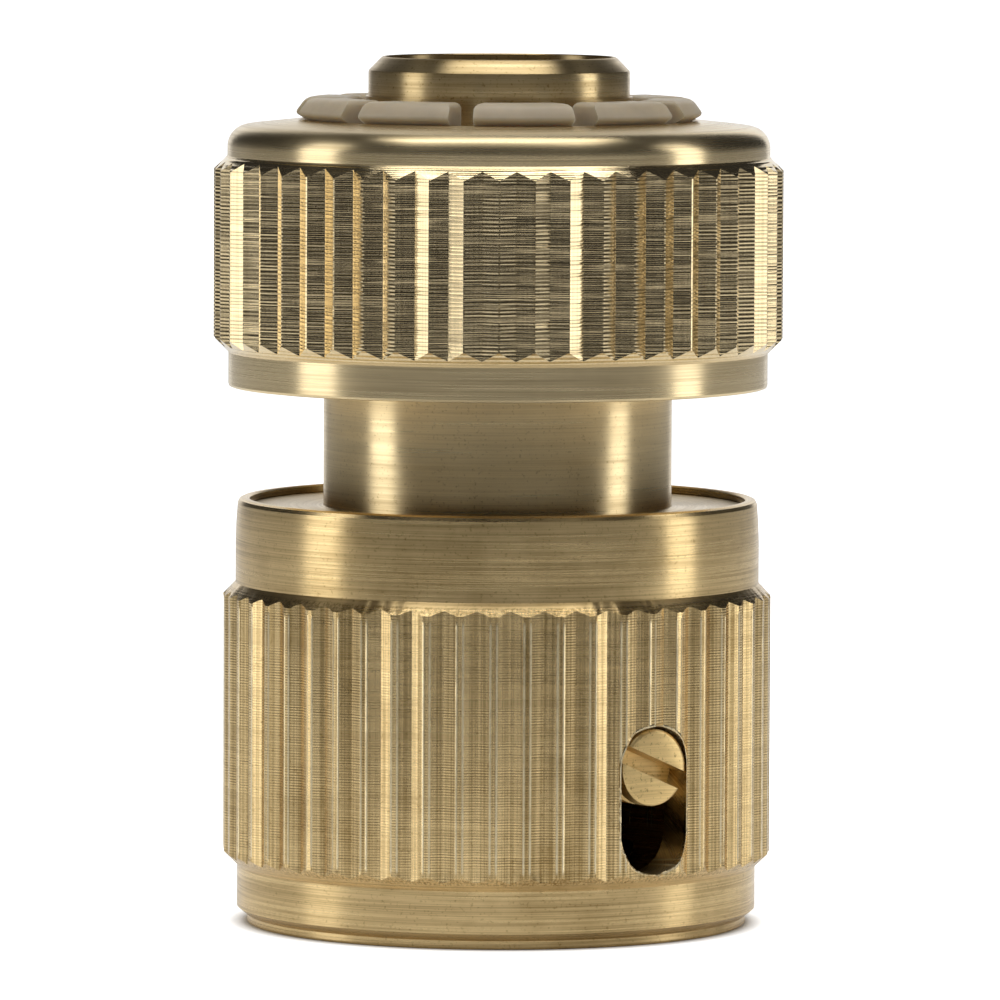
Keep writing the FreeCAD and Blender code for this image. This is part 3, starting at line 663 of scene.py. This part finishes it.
def ridge_burrs_and_highlight(finish):
    """Where the burrs lie, along both edges of each ridge's flat top on the shell, with their painted
    highlight.
    """
    turn = finish.minus(finish.math("ARCTAN2", finish.y, finish.x), math.radians(SHELL_PHASE))
    cycle = finish.math("FRACT", finish.plus(finish.math("DIVIDE", turn, FULL_TURN / RIDGES), RIDGES))
    off = finish.minus(finish.absolute(finish.minus(cycle, 0.5)), LAND_EDGE)
    edge = finish.spread(finish.absolute(off), 0, BURR_WIDTH, 1, 0)
    between = finish.times(finish.spread(finish.z, 5.3 * MM, 5.6 * MM),
                           finish.spread(finish.z, 22.7 * MM, 23.1 * MM, 1, 0))
    broken = finish.spread(finish.noise(finish.place, 500.0, 2.0), 0.3, 0.6, 0.6, 1)
    return finish.times(finish.times(edge, between), broken)


def window_lip_and_highlight(finish, outside):
    """Where the raised lip runs round the window, with its painted highlight.

    It is found by its distance from the line through the window's middle, so the wall opposite
    has the same line faintly."""
    turn = math.radians(WINDOW_TURN)
    along = finish.minus(finish.times(finish.y, math.cos(turn)), finish.times(finish.x, math.sin(turn)))
    rise = finish.minus(finish.absolute(finish.minus(finish.z, WINDOW_LEVEL * MM)), WINDOW_STRAIGHT * MM)
    away = finish.length(along, finish.math("MAXIMUM", rise, 0.0))
    lip = finish.spread(finish.absolute(finish.minus(away, LIP_OFFSET * MM)), 0, LIP_WIDTH * MM, 1, 0)
    broken = finish.spread(finish.noise(finish.place, 1500.0, 2.0), 0.4, 0.55, 0.2, 1)
    return finish.times(finish.times(lip, broken), outside)


def turned_brass(name, base=BRASS, roughness=0.26, line_depth=0.0015, specks=0.0, stain=0.3, lines=0.3,
                 knurl=None, chatter=0.0, step=0.27, wander=9.0, streak=0.2, keen=0.1,
                 patina=None, foot=None, burrs=False):
    """Brass with fine lines round the axis, uneven gloss and small pits, its sizes in millimetres.

    specks, stain, lines and streak are shares of dark brass. Outside the radius knurl lie milled
    ridges: they have streaks along them, are smoother by keen, and show chatter of this depth,
    with waves a step apart that wander. Above the level patina and up to the level foot the
    brass is darker."""
    finish = Finish(name)
    radius = finish.length(finish.x, finish.y)
    # Runs along the surface across the tool's path, on walls, faces and bevels alike. On a knurl
    # the radius is held, so that the lines on its slanting flanks stay level.
    held = finish.math("MINIMUM", radius, knurl * MM) if knurl else radius
    across = finish.plus(finish.z, finish.times(held, 0.6))

    def rings(length, width, detail):
        """Marks of a tool that went round: long one way, in millimetres, and narrow the other."""
        return finish.noise(finish.vector(finish.times(finish.x, 1 / length / MM),
                                          finish.times(finish.y, 1 / length / MM),
                                          finish.times(across, 1 / width / MM)), 1.0, detail)

    fine = rings(16.0, 0.11, 4.0)
    broad = rings(30.0, 0.9, 2.0)
    cloud = finish.noise(finish.place, 150.0, 4.0, 0.6)

    # Share of the dark brass
    share = finish.times(finish.spread(fine, 0.4, 0.66), lines)
    share = finish.plus(share, finish.times(finish.spread(broad, 0.4, 0.7), 0.07))
    if knurl:
        # On the ridges the rings fade, and the cutter's streaks run along them
        outside = finish.spread(radius, knurl * MM, (knurl + 0.1) * MM)
        streaks = finish.noise(finish.vector(finish.times(finish.x, 1 / 0.16 / MM),
                                             finish.times(finish.y, 1 / 0.16 / MM),
                                             finish.times(finish.z, 1 / 40 / MM)), 1.0, 2.0)
        share = finish.times(share, finish.minus(1.0, finish.times(outside, 0.7)))
        drawn = finish.times(finish.spread(streaks, 0.4, 0.65), streak)
        share = finish.plus(share, finish.times(outside, drawn))
    share = finish.plus(share, finish.times(finish.spread(cloud, 0.48, 0.75), stain))
    if patina:
        share = finish.plus(share, finish.spread(finish.z, patina * MM, (patina + 1.5) * MM, 0, 0.45))
    if foot:
        share = finish.plus(share, finish.spread(finish.z, foot * MM, (foot + 1.8) * MM, 0.35, 0))
    if specks:
        pits = finish.noise(finish.place, 4200.0, 3.0, 0.65)
        share = finish.plus(share, finish.times(finish.spread(pits, 0.6, 0.66), specks))
    colour = finish.blend(share, base, BRASS_DARK)
    # Along the ridge edges and round the window's lip the base colour is lightened: a painted highlight on
    # the real burrs and lip
    if burrs:
        edge = ridge_burrs_and_highlight(finish)
        lip = window_lip_and_highlight(finish, outside)
        painted_highlight = finish.math("MAXIMUM", edge, lip)
        colour = finish.blend(painted_highlight, colour, BRASS_PAINTED_HIGHLIGHT)
    finish.give("Base Color", colour)
    finish.give("Metallic", 1.0)

    gloss = finish.plus(finish.spread(fine, 0.35, 0.65, roughness - 0.03, roughness + 0.03),
                        finish.spread(broad, 0.35, 0.65, -0.03, 0.04))
    if knurl:
        # The cutter leaves the ridges smoother than the turned faces beside them
        gloss = finish.minus(gloss, finish.times(outside, keen))
    if burrs:
        # Where the highlight is painted the brass is also a little rougher
        gloss = finish.plus(gloss, finish.times(painted_highlight, 0.12))
    finish.give("Roughness", gloss)
    # Turned metal blurs what it mirrors across the lines, up and down, and keeps it sharp along them
    finish.give("Anisotropic", 0.85)
    finish.give("Anisotropic Rotation", 0.25)
    tangent = finish.add("ShaderNodeTangent")
    tangent.direction_type = "RADIAL"
    tangent.axis = "Z"
    finish.give("Tangent", tangent.outputs[0])

    turned = finish.minus(1.0, finish.times(outside, 0.8)) if knurl else 1.0
    relief = finish.bump(finish.times(fine, turned), line_depth * MM)
    relief = finish.bump(finish.times(broad, turned), line_depth * 1.5 * MM, over=relief)
    if burrs:
        relief = finish.bump(edge, BURR_HEIGHT * MM, over=relief)
        relief = finish.bump(lip, LIP_HEIGHT * MM, over=relief)
    if chatter:
        # Waves across the ridges that drift and come and go, over finer uneven marks
        drift = finish.times(rings(25.0, 0.9, 2.0), wander)
        phase = finish.math("MULTIPLY_ADD", across, FULL_TURN / step / MM, drift)
        strength = finish.spread(rings(6.0, 0.5, 1.0), 0.35, 0.6, 0.3, 1)
        waves = finish.times(finish.math("SINE", phase), strength)
        waves = finish.plus(waves, finish.times(rings(25.0, 0.09, 1.0), 0.8))
        relief = finish.bump(finish.times(waves, outside), chatter * MM, over=relief)
    finish.give("Normal", relief)
    return finish.material


def plastic(name, base):
    """Slightly translucent grey-brown moulding with a satin skin."""
    finish = Finish(name)
    cloud = finish.noise(finish.place, 450.0, 3.0)
    grain = finish.noise(finish.place, 9000.0, 2.0)
    darker = tuple(c * 0.86 for c in base[:3]) + (1,)
    finish.give("Base Color", finish.blend(finish.spread(cloud, 0.35, 0.7), base, darker))
    finish.give("Roughness", finish.spread(grain, 0.3, 0.7, 0.38, 0.52))
    finish.give("Subsurface Weight", 0.5)
    finish.give("Subsurface Radius", (1.0, 0.8, 0.55))
    finish.give("Subsurface Scale", 2.5 * MM)
    finish.give("Normal", finish.bump(grain, 0.004 * MM))
    return finish.material


def steel(name):
    """Bright spring steel with drawing lines."""
    finish = Finish(name)
    lines = finish.noise(finish.vector(finish.times(finish.x, 300.0), finish.times(finish.y, 300.0),
                                       finish.times(finish.z, 9000.0)), 1.0, 3.0)
    colour = finish.blend(finish.spread(lines, 0.3, 0.7), (0.62, 0.63, 0.64, 1), (0.45, 0.45, 0.45, 1))
    finish.give("Base Color", colour)
    finish.give("Metallic", 1.0)
    finish.give("Roughness", finish.spread(lines, 0.3, 0.7, 0.22, 0.4))
    finish.give("Normal", finish.bump(lines, 0.003 * MM))
    return finish.material


def rubber(name):
    """Matt black seal rubber."""
    finish = Finish(name)
    grain = finish.noise(finish.place, 6000.0, 3.0)
    finish.give("Base Color", finish.blend(grain, (0.02, 0.02, 0.02, 1), (0.045, 0.045, 0.045, 1)))
    finish.give("Roughness", 0.7)
    finish.give("Normal", finish.bump(grain, 0.01 * MM))
    return finish.material


def dress(piece, material):
    piece.data.materials.clear()
    piece.data.materials.append(material)


spring_steel = steel("spring_steel")
jaw_plastic = plastic("jaw_plastic", (0.53, 0.445, 0.32, 1))
seal_rubber = rubber("seal_rubber")

dress(sleeve, turned_brass("sleeve_brass", base=(0.86, 0.7, 0.42, 1), roughness=0.28, stain=0.15,
                           knurl=19.35, chatter=0.016, keen=0.12))
dress(shell, turned_brass("shell_brass", base=(0.86, 0.65, 0.33, 1), roughness=0.29, specks=0.35, stain=0.4,
                          lines=0.5, line_depth=0.002, knurl=18.9, chatter=0.0035, step=0.19, wander=3.0,
                          streak=0.7, keen=0.04, burrs=True))
dress(body, turned_brass("body_brass", base=(0.95, 0.77, 0.45, 1), roughness=0.32, stain=0.15, specks=0.3,
                         lines=0.22, patina=57.5, foot=29.8))
dress(tail, turned_brass("tail_brass", roughness=0.3))
dress(bush, turned_brass("bush_brass", roughness=0.3))
dress(ring, turned_brass("clamp_brass", roughness=0.32))
dress(screw, turned_brass("screw_brass", base=(0.95, 0.7, 0.32, 1), roughness=0.4, line_depth=0.006,
                          specks=0.6, stain=0.35))
dress(shoe, spring_steel)
dress(spring, spring_steel)
for jaw in jaws:
    dress(jaw, jaw_plastic)
dress(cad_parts["tail_seal"], seal_rubber)
dress(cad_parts["snap_ring"], spring_steel)
dress(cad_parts["spring_washer"], spring_steel)

# What each piece rides on and stands for

for piece, carrier, node_name, slot_name in (
        (sleeve, "sleeve", "release_sleeve", "sleeve_brass"),
        (bush, "sleeve", "guide_bush", "bush_brass"),
        (shell, "housing", "clamp_shell", "shell_brass"),
        (body, "housing", "socket_body", "body_brass"),
        (tail, "housing", "hose_tail", "tail_brass"),
        (spring, "spring_pack", "sleeve_spring", "spring_steel"),
        (ring, "clamp", "clamp_ring", "clamp_brass"),
        (shoe, "shoe", "pressure_shoe", "shoe_steel"),
        (screw, "screw", "clamp_screw", "screw_brass")):
    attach(piece, carrier)
    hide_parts(node_name)
for number, jaw in enumerate(jaws):
    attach(jaw, f"jaw_{number + 1:02d}")
    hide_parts(f"jaw_{number + 1:02d}")
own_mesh(spring)

# Floor, background and lamps

WHITE = (1, 1, 1, 1)


def white_surface(name, metal_share, clear=None):
    """A pale surface that the camera sees as white, and the metal as bright as its share says.

    Within the clear radius, under the object, and a tenth beyond it round the foot, the glow is taken away by
    place: a painted contact shadow."""
    material = bpy.data.materials.new(name)
    material.use_nodes = True
    wiring = Wiring(material.node_tree)
    wiring.tree.nodes.clear()
    path = wiring.add("ShaderNodeLightPath").outputs
    mirrored = wiring.math("MAXIMUM", path["Is Glossy Ray"], path["Is Transmission Ray"])
    strength = wiring.plus(path["Is Camera Ray"], wiring.times(mirrored, metal_share))
    # Painted contact shadow: the glow fades out by distance from the axis
    if clear:
        length = wiring.add("ShaderNodeVectorMath")
        length.operation = "LENGTH"
        wiring.join(wiring.add("ShaderNodeTexCoord").outputs["Object"], length.inputs[0])
        strength = wiring.times(strength, wiring.spread(length.outputs["Value"], clear, clear * 1.1))
    glow = wiring.add("ShaderNodeEmission")
    wiring.join(strength, glow.inputs["Strength"])
    plain = wiring.add("ShaderNodeBsdfDiffuse")
    plain.inputs["Color"].default_value = (0.85, 0.85, 0.85, 1)
    both = wiring.add("ShaderNodeAddShader")
    wiring.join(glow.outputs[0], both.inputs[0])
    wiring.join(plain.outputs[0], both.inputs[1])
    wiring.join(both.outputs[0], wiring.add("ShaderNodeOutputMaterial").inputs["Surface"])
    return material


def plain_sheet(name, low, high, material):
    """A flat sheet between two corners, as floor or backdrop."""
    bpy.ops.object.select_all(action="DESELECT")
    middle = [(a + b) / 2 for a, b in zip(low, high)]
    upright = low[1] == high[1]
    bpy.ops.mesh.primitive_plane_add(size=1, location=middle, rotation=(math.pi / 2 if upright else 0, 0, 0))
    sheet = bpy.context.object
    sheet.name = name
    sheet.scale = (high[0] - low[0], high[2] - low[2] if upright else high[1] - low[1], 1)
    settle(sheet)
    dress(sheet, material)
    return sheet


# The floor's glow is taken away under and just round the foot, as a painted contact shadow
floor = plain_sheet("floor", (-0.22, -0.055, 0), (0.22, 0.8, 0), white_surface("floor_white", 0.3, 17.8 * MM))
backdrop = plain_sheet("backdrop", (-0.75, 2.0, -0.3), (0.75, 2.0, 1.7),
                       white_surface("backdrop_white", 0.65))


def studio_world():
    """White for the camera, soft for what is matt, and a dark room for what mirrors.

    Bare metal mirrors the room with a pale table that shows just under the horizon."""
    dark, soft = 0.03, 0.33
    world = bpy.data.worlds.new("studio")
    world.use_nodes = True
    wiring = Wiring(world.node_tree)
    wiring.tree.nodes.clear()
    path = wiring.add("ShaderNodeLightPath").outputs
    way = wiring.add("ShaderNodeSeparateXYZ")
    wiring.join(wiring.add("ShaderNodeTexCoord").outputs["Generated"], way.inputs[0])
    table = wiring.times(wiring.spread(way.outputs["Z"], -0.2, -0.12),
                         wiring.spread(way.outputs["Z"], -0.01, 0.03, 1, 0))
    nearer = wiring.times(table, wiring.spread(way.outputs["Y"], -0.9, -0.1, 1, 0.4))
    shade = wiring.add("ShaderNodeMix")
    wiring.join(path["Is Diffuse Ray"], shade.inputs["Factor"])
    wiring.join(wiring.spread(nearer, 0, 1, dark, 1.0), shade.inputs["A"])
    shade.inputs["B"].default_value = soft
    room = wiring.add("ShaderNodeBackground")
    room.inputs["Color"].default_value = WHITE
    wiring.join(shade.outputs["Result"], room.inputs["Strength"])
    white = wiring.add("ShaderNodeBackground")
    white.inputs["Color"].default_value = WHITE
    choice = wiring.add("ShaderNodeMixShader")
    wiring.join(path["Is Camera Ray"], choice.inputs[0])
    wiring.join(room.outputs[0], choice.inputs[1])
    wiring.join(white.outputs[0], choice.inputs[2])
    wiring.join(choice.outputs[0], wiring.add("ShaderNodeOutputWorld").inputs["Surface"])
    return world


bpy.context.scene.world = studio_world()


def softbox(name, azimuth, elevation, distance, width, height, radiance, aim=(0, 0, 0.03)):
    """A rectangular lamp, its direction given from the front, so that 90 is to the right."""
    light = bpy.data.lights.new(name, "AREA")
    light.shape = "RECTANGLE"
    light.size = width
    light.size_y = height
    light.energy = radiance * math.pi * width * height
    lamp = bpy.data.objects.new(name, light)
    bpy.context.scene.collection.objects.link(lamp)
    a, e = math.radians(azimuth), math.radians(elevation)
    away = Vector((math.sin(a) * math.cos(e), -math.cos(a) * math.cos(e), math.sin(e)))
    lamp.location = Vector(aim) + away * distance
    lamp.rotation_euler = away.to_track_quat("Z", "Y").to_euler()
    lamp.visible_camera = False


softbox("strip_left", -82, 12, 0.5, 0.176, 0.5, 1.7)
softbox("strip_right", 87, 12, 0.5, 0.14, 0.5, 1.8)
softbox("overhead", 0, 88, 0.4, 0.37, 0.2, 2.9)

# The camera stands where the photograph was taken from

CAMERA_LENS = 353.6
CAMERA_ELEVATION = math.radians(4.23)
CAMERA_LEAN = math.radians(0.25)
CAMERA_DISTANCE = 0.7
CAMERA_TARGET = Vector((0.000185, 0, 0.03012))

camera_data = bpy.data.cameras.new("camera")
camera_data.lens = CAMERA_LENS
camera_data.sensor_width = 36
camera_data.clip_start = 0.1
camera_data.clip_end = 20
camera = bpy.data.objects.new("camera", camera_data)
bpy.context.scene.collection.objects.link(camera)
bpy.context.scene.camera = camera
turn = Matrix.Rotation(math.pi / 2 - CAMERA_ELEVATION, 3, "X") @ Matrix.Rotation(CAMERA_LEAN, 3, "Z")
camera.rotation_euler = turn.to_euler()
camera.location = CAMERA_TARGET + turn @ Vector((0, 0, CAMERA_DISTANCE))

bpy.context.scene.view_settings.view_transform = "Standard"
